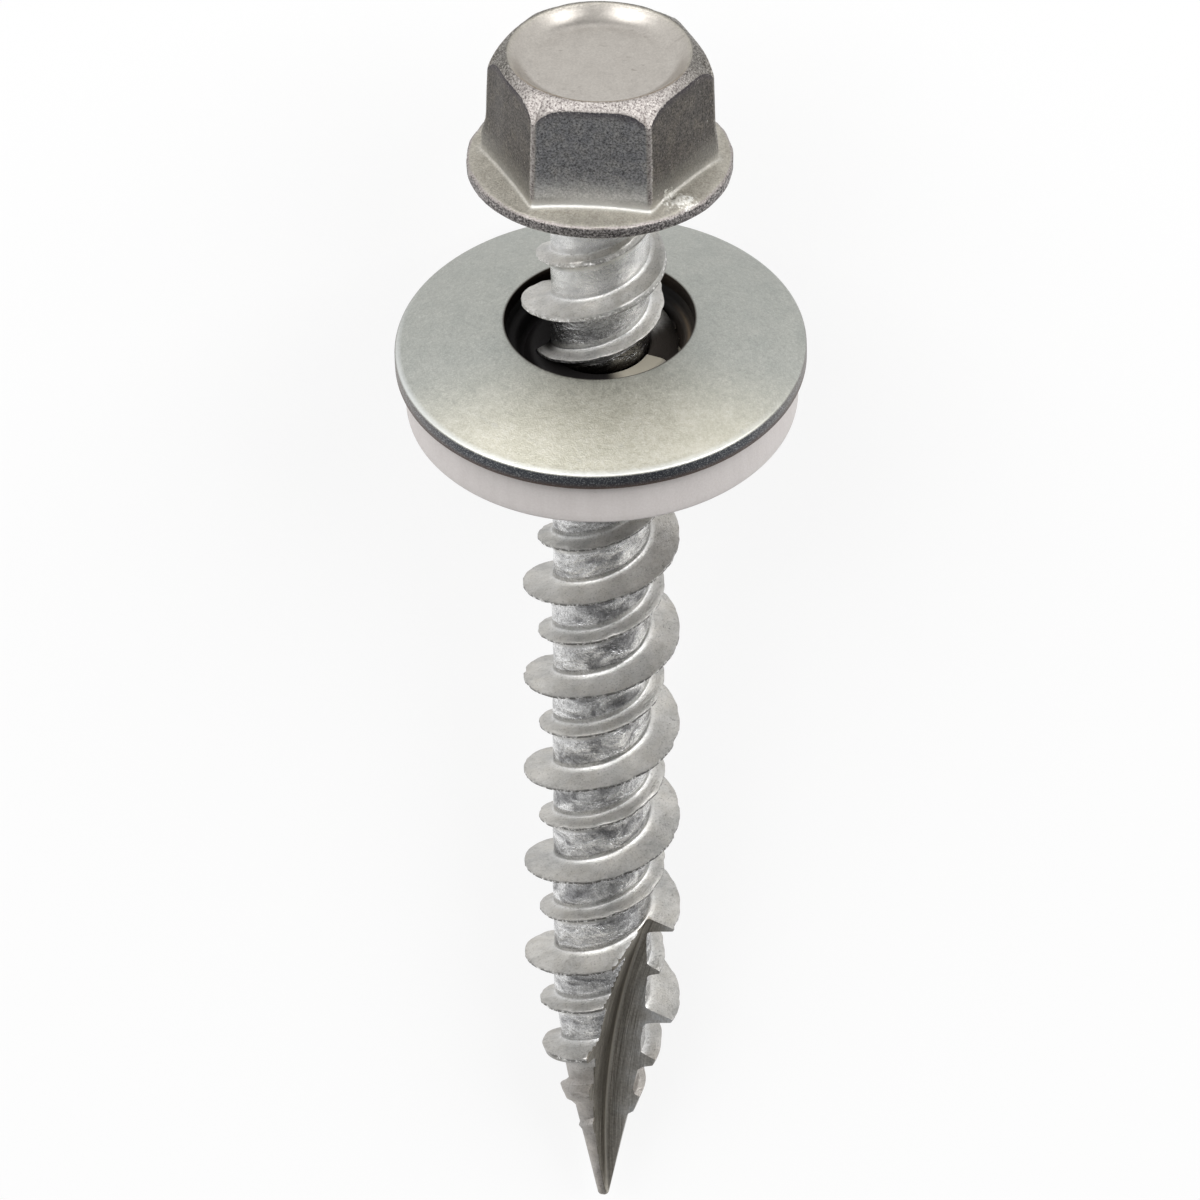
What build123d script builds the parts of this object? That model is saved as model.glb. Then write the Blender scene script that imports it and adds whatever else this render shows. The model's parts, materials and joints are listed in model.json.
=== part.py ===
from build123d import *
import os
from math import atan2, ceil, cos, degrees, floor, pi, radians, sin, sqrt, tan

# A hex washer head screw for fixing sheet metal to wood, with its sealing washer part of
# the way up the thread. It is modelled upright, head up, with its bearing face at zero
# height, and is then laid down on its washer and its thread, as it rests on a table.

# Head and flange, forged in one piece with the shank: heights above the bearing face
across_flats = 6.35
head_height = 4.15
head_corner_round = 0.2
head_draft = 1.5             # degrees that the flats lean in towards the crown
head_turn = -5.0             # the front flat is turned this far to the left
crown_diameter = 5.7         # where the flat rim round the dish ends and the crown starts
crown_drop = 0.62            # how far the crown has fallen at a sharp corner of the hexagon
dish_diameter = 5.5
dish_floor_diameter = 4.3
dish_depth = 0.45
flange_diameter = 8.14
flange_edge = 0.39
flange_slope = 12.5          # degrees that the flange's top climbs towards the hexagon

# Shank: depths below the bearing face
length = 38.2                # 1-1/2 in screw
core_diameter = 3.02
neck_flare = 0.2             # the shank widens by this much, over this depth, into the head
core_taper_depth = 29.8      # the core starts to taper here
core_taper_swell = 0.13      # and stands this far outside a straight cone half way down
point_depth = 35.3           # the plain conical point starts here
point_diameter = 1.48
tip_diameter = 0.34
tip_length = 0.12            # blunt end beyond that diameter
tip_end_diameter = 0.14

# Twin thread: a high and a low ridge, half a lead apart
facets_per_turn = 24         # the core and the ridges have flat facets
lead = 3.45                  # advance in one turn, about 15 crests to the inch
high_diameter = 4.84
high_root_width = 0.52
low_diameter = 3.9
low_root_width = 0.4
crest_width = 0.1
ridge_root_sink = 0.2        # the flanks run on this far inside the core
ridge_inner_diameter = 0.8   # then the ridge's sides are parallel, in to this diameter
thread_phase = 16.9          # a depth at which the high crest crosses the right-hand side
thread_start_depth = 0.7     # the ridges grow out of the core from here
thread_full_depth = 4.4      # to here
crest_taper_depth = 30.8     # the crests taper from here
crest_taper_end = 35.4       # to here
crest_taper_end_diameter = 1.6

# Cutting flute: ground by a square-edged wheel that comes down to the screw's axis
wheel_diameter = 53.0
wheel_depth = 36.0           # the wheel touches the axis here
flute_turn = -28.0           # direction of the flute's flat wall, from the right-hand side

# Sealing washer, cocked on the thread
washer_depth = 6.5           # from the bearing face to the middle of the washer's rim
washer_lean = 6.0            # front edge low
washer_roll = 1.3            # right edge high
washer_diameter = 12.6
washer_hole_diameter = 5.8
washer_thickness = 0.45
washer_rise = 1.1            # height of the dome at the hole
washer_edge_chamfer = 0.08

# Rubber seal, bonded into the dome: heights above the rim's top edge
seal_height = 2.08           # from the rim's top edge down to the sealing face
seal_inset = 0.3             # the ring's side stands this far inside the washer's rim
seal_face_hole_diameter = 6.0
seal_lip_width = 0.3         # the rubber stands up inside the washer's hole, this wide
seal_lip_height = 0.35
seal_groove_width = 0.3      # from the groove's middle to either edge
seal_groove_depth = 0.3
seal_web_height = 0.15
seal_web_thickness = 1.2
seal_flat_depth = 0.04       # small flat spot, where the soft ring lies on the table
thread_clearance = 0.04

core_radius = core_diameter / 2
high_radius = high_diameter / 2
sharp_corner_radius = across_flats / 2 / cos(radians(30))


def blank_radius(depth):
    """Radius that the crests keep within: they grow below the head and shrink at the point."""
    grown = (depth - thread_start_depth) / (thread_full_depth - thread_start_depth)
    left = (crest_taper_end - depth) / (crest_taper_end - crest_taper_depth)
    first_radius = core_radius - ridge_root_sink / 2
    last_radius = crest_taper_end_diameter / 2
    return min(
        first_radius + grown * (high_radius - first_radius),
        last_radius + left * (high_radius - last_radius),
    )


def ridge(crest_diameter, root_width, phase, top, bottom, clearance=0.0):
    """One start of the thread, from one depth to another: a flat-faceted helical ridge."""
    full_radius = crest_diameter / 2 + clearance
    flank_slope = (root_width - crest_width) / (crest_diameter - core_diameter)
    sunk_radius = core_radius - ridge_root_sink
    step = lead / facets_per_turn

    def half_width(radius):
        return crest_width / 2 + clearance + (full_radius - max(radius, sunk_radius)) * flank_slope

    rings = []
    for count in range(ceil((phase - bottom) / step), floor((phase - top) / step) + 1):
        depth = phase - count * step
        angle = count * 2 * pi / facets_per_turn
        crest_radius = min(full_radius, blank_radius(depth) + clearance)
        root_radius = min(sunk_radius, crest_radius - crest_width)
        half = [
            (radius, half_width(radius))
            for radius in (ridge_inner_diameter / 2, root_radius, crest_radius)
        ]
        outline = [(radius, -width) for radius, width in half]
        outline += [(radius, width) for radius, width in reversed(half)]
        rings.append([
            Vector(radius * cos(angle), radius * sin(angle), height - depth)
            for radius, height in outline
        ])
    facets = [Face(Wire.make_polygon(rings[0][::-1])), Face(Wire.make_polygon(rings[-1]))]
    for lower, upper in zip(rings, rings[1:]):
        for corner in range(len(lower)):
            after = (corner + 1) % len(lower)
            facets.append(Face(Wire.make_polygon([lower[corner], lower[after], upper[after]])))
            facets.append(Face(Wire.make_polygon([lower[corner], upper[after], upper[corner]])))
    return Solid(Shell(facets))


def twin_thread(top=thread_start_depth, bottom=crest_taper_end, clearance=0.0):
    """The high and the low ridge, half a lead apart."""
    high = ridge(high_diameter, high_root_width, thread_phase, top, bottom, clearance)
    low = ridge(low_diameter, low_root_width, thread_phase + lead / 2, top, bottom, clearance)
    return [high, low]


# Screw: head, flange, shank and thread are one piece
with BuildPart() as screw:
    for height in (0, head_height):
        half_width = across_flats / 2 - height * tan(radians(head_draft))
        with BuildSketch(Plane.XY.offset(height)):
            RegularPolygon(half_width, 6, major_radius=False, rotation=30 + head_turn)
            fillet(vertices(), head_corner_round)
    loft(ruled=True)

    # spherical crown, from the rim of the dish down to the hexagon's corners
    crown_radius = crown_diameter / 2
    crown_foot = head_height - crown_drop
    crown_centre = (
        (head_height**2 + crown_radius**2 - crown_foot**2 - sharp_corner_radius**2)
        / (2 * crown_drop)
    )
    crown_sphere_radius = sqrt(crown_radius**2 + (head_height - crown_centre) ** 2)
    with BuildSketch(Plane.XZ):
        with BuildLine():
            crown = RadiusArc(
                (crown_radius, head_height),
                (sharp_corner_radius, crown_foot),
                crown_sphere_radius,
            )
            Polyline(crown @ 1, (sharp_corner_radius, 0), (0, 0), (0, head_height), crown @ 0)
        make_face()
    revolve(mode=Mode.INTERSECT)

    # shallow dish in the top
    with BuildSketch(Plane.XZ):
        with BuildLine():
            Polyline(
                (0, head_height - dish_depth),
                (dish_floor_diameter / 2, head_height - dish_depth),
                (dish_diameter / 2, head_height),
                (0, head_height),
                close=True,
            )
        make_face()
    revolve(mode=Mode.SUBTRACT)

    # flange with its sloping top
    flange_radius = flange_diameter / 2
    with BuildSketch(Plane.XZ):
        with BuildLine():
            Polyline(
                (0, 0),
                (flange_radius, 0),
                (flange_radius, flange_edge),
                (0, flange_edge + flange_radius * tan(radians(flange_slope))),
                close=True,
            )
        make_face()
    revolve()

    # core of the shank: flared neck, plain run, swelling taper, point and blunt tip
    swell_radius = (core_radius + point_diameter / 2) / 2 + core_taper_swell
    core_sections = [
        (0, core_radius + neck_flare),
        (neck_flare, core_radius),
        (core_taper_depth, core_radius),
        ((core_taper_depth + point_depth) / 2, swell_radius),
        (point_depth, point_diameter / 2),
        (length - tip_length, tip_diameter / 2),
        (length, tip_end_diameter / 2),
    ]
    for depth, radius in core_sections:
        with BuildSketch(Plane.XY.offset(-depth)):
            RegularPolygon(radius, facets_per_turn)
    loft(ruled=True)
    add(twin_thread())

    # cutting flute: one wall flat, through the axis, the other the wheel's own curve
    side = radians(flute_turn)
    flute_plane = Plane(
        origin=(0, 0, 0),
        x_dir=(cos(side), sin(side), 0),
        z_dir=(sin(side), -cos(side), 0),
    )
    with BuildSketch(flute_plane):
        with Locations((wheel_diameter / 2, -wheel_depth)):
            Circle(wheel_diameter / 2)
    extrude(amount=high_diameter, mode=Mode.SUBTRACT)

# Steel washer: a shallow spherical dome with a plain hole
washer_frame = Plane(
    Location((0, 0, -washer_depth), (washer_lean, -washer_roll, 0))
)
washer_axis = Axis(washer_frame.origin, washer_frame.z_dir)
washer_section = Plane(
    origin=washer_frame.origin,
    x_dir=washer_frame.x_dir,
    z_dir=-washer_frame.y_dir,
)
hole_radius = washer_hole_diameter / 2
rim_radius = washer_diameter / 2
dome_centre = (washer_rise**2 + hole_radius**2 - rim_radius**2) / (2 * washer_rise)
dome_radius = sqrt(rim_radius**2 + dome_centre**2)
bond_radius = dome_radius - washer_thickness


def dome_height(radius, sphere_radius):
    """Height of the dome's upper or lower sphere above the rim's top edge."""
    return dome_centre + sqrt(sphere_radius**2 - radius**2)


bond_top = (hole_radius, dome_height(hole_radius, bond_radius))
bond_edge = (rim_radius, dome_height(rim_radius, bond_radius))

with BuildPart() as steel_washer:
    with BuildSketch(washer_section):
        with BuildLine():
            top = RadiusArc((hole_radius, washer_rise), (rim_radius, 0), dome_radius)
            under = RadiusArc(bond_top, bond_edge, bond_radius)
            Line(top @ 1, under @ 1)
            Line(under @ 0, top @ 0)
        make_face()
        chamfer(vertices().group_by(Axis.X)[-1].sort_by(Axis.Z)[-1], washer_edge_chamfer)
    revolve(axis=washer_axis)

# Laid down on its back, the washer and the last full crest of the high thread touch the
# table. The washer's front edge is low on the thread, so its back edge is high.
lean = radians(washer_lean)
seal_radius = rim_radius - seal_inset


def edge_slope(radius, height, flat):
    """Slope of the table under one of the washer's edges and the last full crest."""
    back = radius * cos(lean) - height * sin(lean) - flat
    rise = radius * sin(lean) + height * cos(lean) - washer_depth
    return atan2(back - high_radius, rise + last_crest_depth)


full_turns = int((crest_taper_depth - thread_phase + lead / 4) / lead)
last_crest_depth = thread_phase - lead / 4 + full_turns * lead + crest_width / 2
rest_slope = max(
    edge_slope(rim_radius, bond_edge[1], 0),
    edge_slope(seal_radius, -seal_height, seal_flat_depth),
)
table = Plane(
    origin=(0, high_radius, -last_crest_depth),
    x_dir=(1, 0, 0),
    z_dir=(0, cos(rest_slope), -sin(rest_slope)),
)

# Rubber seal: fills the dome, with a flat face below and a web that hugs the thread
lip_radius = hole_radius - seal_lip_width
groove_radius = lip_radius - seal_groove_width
with BuildPart() as rubber_seal:
    with BuildSketch(washer_section):
        with BuildLine():
            bond = RadiusArc(bond_top, bond_edge, bond_radius)
            Polyline(
                bond @ 0,
                (hole_radius, seal_lip_height),
                (lip_radius, seal_lip_height),
                (groove_radius, seal_web_height - seal_groove_depth),
                (groove_radius - seal_groove_width, seal_web_height),
                (0, seal_web_height),
                (0, seal_web_height - seal_web_thickness),
                (core_radius, seal_web_height - seal_web_thickness),
                (seal_face_hole_diameter / 2, -seal_height),
                (rim_radius, -seal_height),
                bond @ 1,
            )
        make_face()
        with Locations((seal_radius / 2, 0)):
            Rectangle(seal_radius, 2 * seal_height, mode=Mode.INTERSECT)
    revolve(axis=washer_axis)
    bore_top = washer_depth - washer_rise
    bore_bottom = washer_depth + seal_height + washer_rise
    with BuildSketch(Plane.XY.offset(-bore_top)):
        RegularPolygon(core_radius + thread_clearance, facets_per_turn)
    extrude(amount=bore_top - bore_bottom, mode=Mode.SUBTRACT)
    add(twin_thread(bore_top, bore_bottom, thread_clearance), mode=Mode.SUBTRACT)
    split(bisect_by=table, keep=Keep.BOTTOM)

# Laid on the table, point towards the front, middle of its outline over the origin
pieces = {"screw": screw, "steel_washer": steel_washer, "rubber_seal": rubber_seal}
for piece in pieces.values():
    piece.part.move(Location((0, 0, 0), (degrees(rest_slope) - 90, 0, 0)))
box = Compound([piece.part for piece in pieces.values()]).bounding_box()
to_table = Location((-box.center().X, -box.center().Y, -box.min.Z))

os.makedirs("parts", exist_ok=True)
for name, piece in pieces.items():
    piece.part.move(to_table)
    piece.part.label = name
    export_step(piece.part, "parts/" + name + ".step")
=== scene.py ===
import json
from math import atan, cos, pi, radians, sin, sqrt, tan

import bmesh
import bpy
import numpy as np
from mathutils import Matrix, Vector


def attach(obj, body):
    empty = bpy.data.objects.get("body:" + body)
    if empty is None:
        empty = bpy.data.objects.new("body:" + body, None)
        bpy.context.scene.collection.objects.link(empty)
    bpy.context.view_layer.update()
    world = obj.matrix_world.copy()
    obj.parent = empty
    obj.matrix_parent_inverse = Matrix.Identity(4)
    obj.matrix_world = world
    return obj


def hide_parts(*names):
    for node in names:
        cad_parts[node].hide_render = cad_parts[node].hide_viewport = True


# A hex washer head screw with a bonded sealing washer, lying on a pale floor. The shapes are
# worked out upright in millimetres, head up, with the bearing face at zero height and the
# photographed side towards -Y, and are then laid down with the frame's own screw axis.

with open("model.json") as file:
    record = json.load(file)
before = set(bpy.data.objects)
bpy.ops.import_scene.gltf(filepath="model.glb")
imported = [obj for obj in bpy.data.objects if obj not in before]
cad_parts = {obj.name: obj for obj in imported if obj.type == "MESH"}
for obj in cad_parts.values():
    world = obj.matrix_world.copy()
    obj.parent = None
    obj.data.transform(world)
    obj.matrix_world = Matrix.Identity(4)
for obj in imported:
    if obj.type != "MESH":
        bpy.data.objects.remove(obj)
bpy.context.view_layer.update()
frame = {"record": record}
mounts = {mount["name"]: mount for mount in frame["record"]["mounts"]}

MM = 0.001

# Head and flange, heights above the bearing face
ACROSS_FLATS = 6.35
HEAD_HEIGHT = 4.15
HEAD_DRAFT = tan(radians(1.5))  # the flats lean in
HEAD_TURN = radians(-95)        # direction of the front flat's normal
CORNER_ROUND = 0.2
CROWN_RADIUS = 2.86
ARCH_DROP = 0.2                 # from the top down to the middle of a flat's upper edge
CORNER_DROP = 0.6               # and from there down to the corner
DISH_WALL = 2.72                # radius where the dish's side starts
DISH_FLOOR_RADIUS = 2.12
DISH_DEPTH = 0.45
FLANGE_RADIUS = 4.07
FLANGE_EDGE = 0.39
FLANGE_SLOPE = tan(radians(12.5))
FOOT_ROUND = 0.1
WORN_CORNERS = ((radians(-90), 0.12), (radians(90), 0.05))  # angle from the front flat, depth
BURR_PLACE = (2.34, -2.7)       # torn metal at the foot of the front right flat

# Shank and thread
LENGTH = 38.2
LEAD = 3.45
CORE = 1.51
HIGH = 2.42
LOW = 1.95
CREST_HALF = 0.05
UPPER_FLANK = 0.17              # axial width of a flank that faces the head
LOWER_FLANK = 0.26
LOW_SCALE = 0.72                # the low ridge's flanks are this much narrower
HIGH_FILLET = 0.4
LOW_FILLET = 0.24
THREAD_PHASE = -16.9
THREAD_START = 0.7
THREAD_FULL = 4.8
CREST_TAPER = 30.8
CREST_TAPER_END = 35.4
CREST_TAPER_END_RADIUS = 0.8
NECK_FLARE = 0.2
CORE_DEPTHS = (0, 29.8, 31.2, 33.0, 34.3, 35.3, 38.05)
CORE_RADII = (1.51, 1.51, 1.40, 1.21, 0.94, 0.74, 0.18)
TIP_ROUND = 0.15

# Flute, ground by a wheel that comes down to the axis
WHEEL_RADIUS = 26.5
WHEEL_DEPTH = 36.0
FLUTE_TURN = radians(-25)
FLUTE_SHIFT = 0.08              # the wheel stops this short of the axis
FLUTE_TOP = -24.0
FLUTE_ALONG = np.array((cos(FLUTE_TURN), sin(FLUTE_TURN), 0))
FLUTE_ACROSS = np.array((sin(FLUTE_TURN), -cos(FLUTE_TURN), 0))

# Washer and seal
WASHER_DEPTH = 6.5
RIM_RADIUS = 6.3
HOLE_RADIUS = 2.9
WASHER_RISE = 1.1
WASHER_THICKNESS = 0.45
SEAL_HEIGHT = 2.08
SEAL_RADIUS = 6.0
SEAL_FACE_HOLE = 3.0
WEB_TOP = 0.15
WEB_BOTTOM = -1.05
THREAD_CLEARANCE = 0.05
RING_COLUMNS = 256
RING_ANGLES = np.arange(RING_COLUMNS) * 2 * pi / RING_COLUMNS
WEB_ROWS = 3                    # rows of the ring's section that lie on its web

rng = np.random.default_rng(11)
LATTICE = rng.uniform(-1, 1, (32, 32, 32))


def noise(points, size, seed=0.0):
    """Smooth noise from -1 to 1, with lumps of about the given size in millimetres."""
    places = points / size + seed
    cells = np.floor(places).astype(int)
    part = places - cells
    part = part * part * (3 - 2 * part)
    total = np.zeros(len(points))
    for corner in np.ndindex(2, 2, 2):
        weight = np.prod(np.where(corner, part, 1 - part), axis=-1)
        index = (cells + corner) % len(LATTICE)
        total += weight * LATTICE[index[:, 0], index[:, 1], index[:, 2]]
    return total


def around_axis(radius, angle, height):
    """Points from their distances from the upright axis, angles and heights."""
    places = np.broadcast_arrays(radius * np.cos(angle), radius * np.sin(angle), height)
    return np.stack(places, axis=-1)


def smooth_max(a, b, width):
    """The larger of two heights, with a fillet of about the given width between them."""
    share = np.clip(0.5 + 0.5 * (a - b) / width, 0, 1)
    return b + (a - b) * share + width * share * (1 - share)


def smooth_step(low, high, value):
    share = np.clip((value - low) / (high - low), 0, 1)
    return share * share * (3 - 2 * share)


# Where the upright screw and its washer lie in the frame
axis_up = Vector(mounts["hex_drive"]["axis"])
right = Vector((1, 0, 0))
back = axis_up.cross(right).normalized()
head_top = Vector(mounts["hex_drive"]["pos_m"])
bearing = head_top - axis_up * HEAD_HEIGHT * MM
screw_place = Matrix.Translation(bearing) @ Matrix((right, back, axis_up)).transposed().to_4x4()
screw_place = screw_place @ Matrix.Scale(MM, 4)

washer_up = -Vector(mounts["sealing_face"]["axis"])
washer_right = (right - washer_up * right.dot(washer_up)).normalized()
washer_back = washer_up.cross(washer_right)
washer_centre = bearing - axis_up * WASHER_DEPTH * MM
washer_turn = Matrix((washer_right, washer_back, washer_up)).transposed().to_4x4()
washer_place = Matrix.Translation(washer_centre) @ washer_turn @ Matrix.Scale(MM, 4)


def grid_faces(rows, columns, shift=0):
    """Quads between neighbouring rows; the seam joins each row to the one `shift` rows on."""
    faces = []
    for row in range(rows - 1):
        for column in range(columns - 1):
            a = row * columns + column
            faces.append((a, a + 1, a + columns + 1, a + columns))
        seam = (row + shift) * columns
        if row + 1 + shift < rows:
            a = row * columns + columns - 1
            faces.append((a, seam, seam + columns, a + columns))
    return faces


def add_object(name, data):
    thing = bpy.data.objects.new(name, data)
    bpy.context.scene.collection.objects.link(thing)
    return thing


def make_object(name, points, faces):
    """An upright object from points in millimetres, with doubled points merged."""
    mesh = bpy.data.meshes.new(name)
    mesh.from_pydata([tuple(point) for point in points], [], faces)
    weld(mesh)
    return add_object(name, mesh)


def weld(mesh, distance=0.0008):
    """Merges points that fall together, and drops the faces that collapse with them."""
    work = bmesh.new()
    work.from_mesh(mesh)
    bmesh.ops.remove_doubles(work, verts=work.verts, dist=distance)
    bmesh.ops.dissolve_degenerate(work, edges=work.edges, dist=distance / 2)
    bmesh.ops.recalc_face_normals(work, faces=work.faces)
    work.to_mesh(mesh)
    work.free()


def core_radius(depth):
    plain = np.interp(depth, CORE_DEPTHS, CORE_RADII)
    flare = NECK_FLARE * np.clip(1 - depth / NECK_FLARE, 0, 1) ** 2
    tip = np.clip((LENGTH - depth) / TIP_ROUND, 0, 1)
    return (plain + flare) * np.sqrt(tip * (2 - tip))


def blank_radius(depth):
    """Radius that the crests keep within, near the head and near the point."""
    grown = (depth - THREAD_START) / (THREAD_FULL - THREAD_START)
    left = (CREST_TAPER_END - depth) / (CREST_TAPER_END - CREST_TAPER)
    start = 1.4 + grown * (HIGH - 1.4)
    end = CREST_TAPER_END_RADIUS + left * (HIGH - CREST_TAPER_END_RADIUS)
    return np.minimum(np.minimum(start, end), HIGH)


def ridge_radius(offset, crest, scale):
    """Radius of one ridge at an axial distance from the middle of its crest."""
    width = np.where(offset > 0, UPPER_FLANK, LOWER_FLANK) * scale
    beyond = np.clip(np.abs(offset) - CREST_HALF, 0, None)
    return crest - beyond / width * (crest - CORE)


def thread_offsets(angle, height):
    """Axial distances from the nearest high and low crest, positive towards the head."""
    turns = (height - THREAD_PHASE) / LEAD - angle / (2 * pi)
    high = (turns + 0.5) % 1 - 0.5
    low = turns % 1 - 0.5
    return high * LEAD, low * LEAD


def thread_radius(angle, height):
    """Radius of the rolled shank, before its wear and its flute."""
    depth = -height
    high_offset, low_offset = thread_offsets(angle, height)
    radius = core_radius(depth)
    for offset, crest, scale, fillet in (
        (high_offset, HIGH, 1.0, HIGH_FILLET),
        (low_offset, LOW, LOW_SCALE, LOW_FILLET),
    ):
        ridge = -smooth_max(-ridge_radius(offset, crest, scale), -blank_radius(depth), 0.03)
        ridge = np.where(depth > CREST_TAPER_END, 0.0, ridge)
        height = np.clip(blank_radius(depth) - radius, 0.05, 1)
        radius = smooth_max(radius, ridge, np.minimum(fillet, height))
    return radius


def root_share(angle, height):
    """1 in the middle of the roots, and 0 on the ridges and their fillets."""
    high_offset, low_offset = thread_offsets(angle, height)
    clear = np.minimum(
        np.where(high_offset > 0, high_offset - 0.37, -high_offset - 0.4),
        np.where(low_offset > 0, low_offset - 0.27, -low_offset - 0.3),
    )
    return smooth_step(0.0, 0.1, clear)


def row_offsets():
    """Axial places of the rows over one lead: close on the ridges, wide on the roots."""
    ridge_rows = (-0.36, -0.3, -0.25, -0.19, -0.12, -0.075, -0.045, -0.015,
                  0.015, 0.045, 0.07, 0.11, 0.16, 0.2, 0.25, 0.31)
    places = []
    for middle, scale in ((0.0, 1.0), (LEAD / 2, 0.85)):
        places += [middle + row * scale for row in ridge_rows]
        first = middle + 0.31 * scale
        last = middle + LEAD / 2 - 0.36 * (1.85 - scale)
        places += list(np.linspace(first, last, 8)[1:-1])
    return np.array(sorted(place % LEAD for place in places))


def column_angles():
    """Columns every few degrees, closer at the hexagon's corners."""
    corner = np.radians((-3.2, -2.3, -1.6, -0.9, -0.3, 0.3, 0.9, 1.6, 2.3, 3.2))
    flat = np.linspace(radians(3.2), radians(56.8), 19)[1:-1]
    sector = np.concatenate((corner, flat))
    first_corner = HEAD_TURN + radians(30)
    sectors = [first_corner + sector + k * pi / 3 for k in range(6)]
    return np.sort(np.concatenate(sectors) % (2 * pi))


ANGLES = column_angles()


def shank_points():
    """The rows of the shank, which climb with the helix and are clipped at both ends."""
    offsets = row_offsets()
    leads = int(LENGTH / LEAD) + 3
    first = THREAD_PHASE - LEAD * (int((LENGTH + THREAD_PHASE) / LEAD) + 2)
    starts = (first + LEAD * np.arange(leads)[:, None] + offsets[None, :]).ravel()
    heights = starts[:, None] + LEAD * ANGLES[None, :] / (2 * pi)
    angles = np.broadcast_to(ANGLES, heights.shape)
    heights = np.clip(heights, -LENGTH, 0)
    radii = thread_radius(angles, heights)
    return angles, heights, radii, len(offsets)


def wear_shank(angles, heights, radii):
    """Chipped crests, crinkled roots and a slightly wavy surface."""
    angle, height, radius = angles.ravel(), heights.ravel(), radii.ravel()
    points = around_axis(radius, angle, height)
    high_offset, low_offset = thread_offsets(angle, height)
    crest = np.maximum(
        1 - smooth_step(0.03, 0.14, np.abs(high_offset)),
        1 - smooth_step(0.03, 0.12, np.abs(low_offset)),
    )
    proud = smooth_step(0.08, 0.3, radius - core_radius(-height))
    inside = smooth_step(0.0, 0.4, -height) * smooth_step(0, 0.3, LENGTH + height)
    chips = np.clip(noise(points, 0.38, 3.1) - 0.1, 0, 1) * 0.08 + noise(points, 0.2, 5.7) * 0.018
    crinkle = noise(points * (1, 1, 1.3), 0.75, 1.3) * 0.035 + noise(points, 0.36, 8.2) * 0.014
    crinkle *= (0.35 + 0.65 * smooth_step(4, 9, -height)) * (1 - smooth_step(32, 34, -height))
    change = root_share(angle, height) * crinkle - crest * proud * chips
    change += noise(points, 1.8, 2.2) * 0.008
    return radii + (change * inside).reshape(radii.shape)


def flat_turn(angle):
    """Angle from the middle of the nearest flat of the hexagon."""
    return (angle - HEAD_TURN + pi / 6) % (pi / 3) - pi / 6


def hexagon_radius(grow=0.0, rounding=CORNER_ROUND):
    """Distance from the axis to the hexagon's side at its foot, for each column."""
    apothem = ACROSS_FLATS / 2 + grow
    turned = flat_turn(ANGLES)
    from_corner = np.abs(np.abs(turned) - pi / 6)
    centre = (apothem - rounding) / cos(pi / 6)
    reach = rounding**2 - (centre * np.sin(from_corner)) ** 2
    arc = centre * np.cos(from_corner) + np.sqrt(np.clip(reach, 0, None))
    limit = atan(rounding * 0.5 / (centre + rounding * cos(pi / 6)))
    return np.where(from_corner < limit, arc, apothem / np.cos(turned))


def wall_radius(height):
    """Distance from the axis to the hexagon's leaning side, for each column."""
    return hexagon_radius() * (1 - HEAD_DRAFT * height / (ACROSS_FLATS / 2))


def wall_top(angle):
    """Height of the arched line where a flat meets the crown."""
    share = np.abs(np.tan(flat_turn(angle))) / tan(pi / 6)
    return HEAD_HEIGHT - ARCH_DROP - CORNER_DROP * share**5


def arc_points(x, y, radius, degrees):
    """Points on an arc, for a rounded edge of a section."""
    return [(x + radius * cos(turn), y + radius * sin(turn)) for turn in np.radians(degrees)]


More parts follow.
